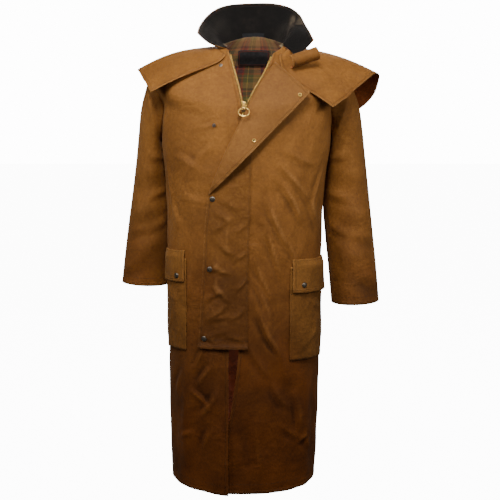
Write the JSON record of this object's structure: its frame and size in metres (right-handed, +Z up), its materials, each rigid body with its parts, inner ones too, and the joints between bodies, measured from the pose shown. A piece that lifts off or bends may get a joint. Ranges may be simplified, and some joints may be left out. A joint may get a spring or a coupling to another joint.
{
  "type": "long waxed-cotton riding coat with shoulder cape",
  "caption": "Long hollow waxed-cotton riding coat with shoulder cape, raised corduroy collar, turned-back storm flap, brass ring-pull zip and flapped patch pockets.",
  "frame": {"origin": "middle of the neck at the height of the back neck seam, where the wearer's shoulders carry the coat", "axes": "+Z up, the front faces -Y, +X is the wearer's left"},
  "size_m": [0.727, 0.3783, 1.321],
  "materials": {
    "waxed_cotton": "waxed, worn, mottled",
    "corduroy": "dark ribbed pile",
    "tartan_lining": "woven check",
    "black_tape": "matte woven tape",
    "brass": "satin",
    "antique_metal": "antique, dull"
  },
  "bodies": {
    "coat": {"back": "waxed_cotton", "back_yoke": "waxed_cotton", "cape": "waxed_cotton", "flap_snap_1_socket": "brass", "flap_snap_1_stud": "antique_metal", "flap_snap_2_socket": "brass", "flap_snap_2_stud": "antique_metal", "flap_snap_3_cap": "antique_metal", "flap_snap_4_cap": "antique_metal", "flap_snap_5_cap": "antique_metal", "front_left": "waxed_cotton", "front_right": "waxed_cotton", "hanging_loop": "black_tape", "lining_back": "tartan_lining", "neck_label": "black_tape", "pocket_flap_left": "waxed_cotton", "pocket_flap_right": "waxed_cotton", "pocket_left": "waxed_cotton", "pocket_right": "waxed_cotton", "pocket_snap_left": "antique_metal", "pocket_snap_right": "antique_metal", "sleeve_left": "waxed_cotton", "sleeve_right": "waxed_cotton", "storm_flap": "waxed_cotton", "throat_tab": "waxed_cotton", "top_collar": "corduroy", "under_collar": "waxed_cotton", "zip_slider": "brass", "zip_tape_left": "black_tape", "zip_tape_right": "black_tape"},
    "zip_pull": {"zip_pull": "brass"}
  },
  "joints": [
    {"name": "zip_pull_swing", "type": "hinge", "parent": "coat", "child": "zip_pull", "pos_m": [-0.0045, -0.14439, -0.16875], "axis": [-1, 0, 0], "range_deg": [0, 110]}
  ]
}
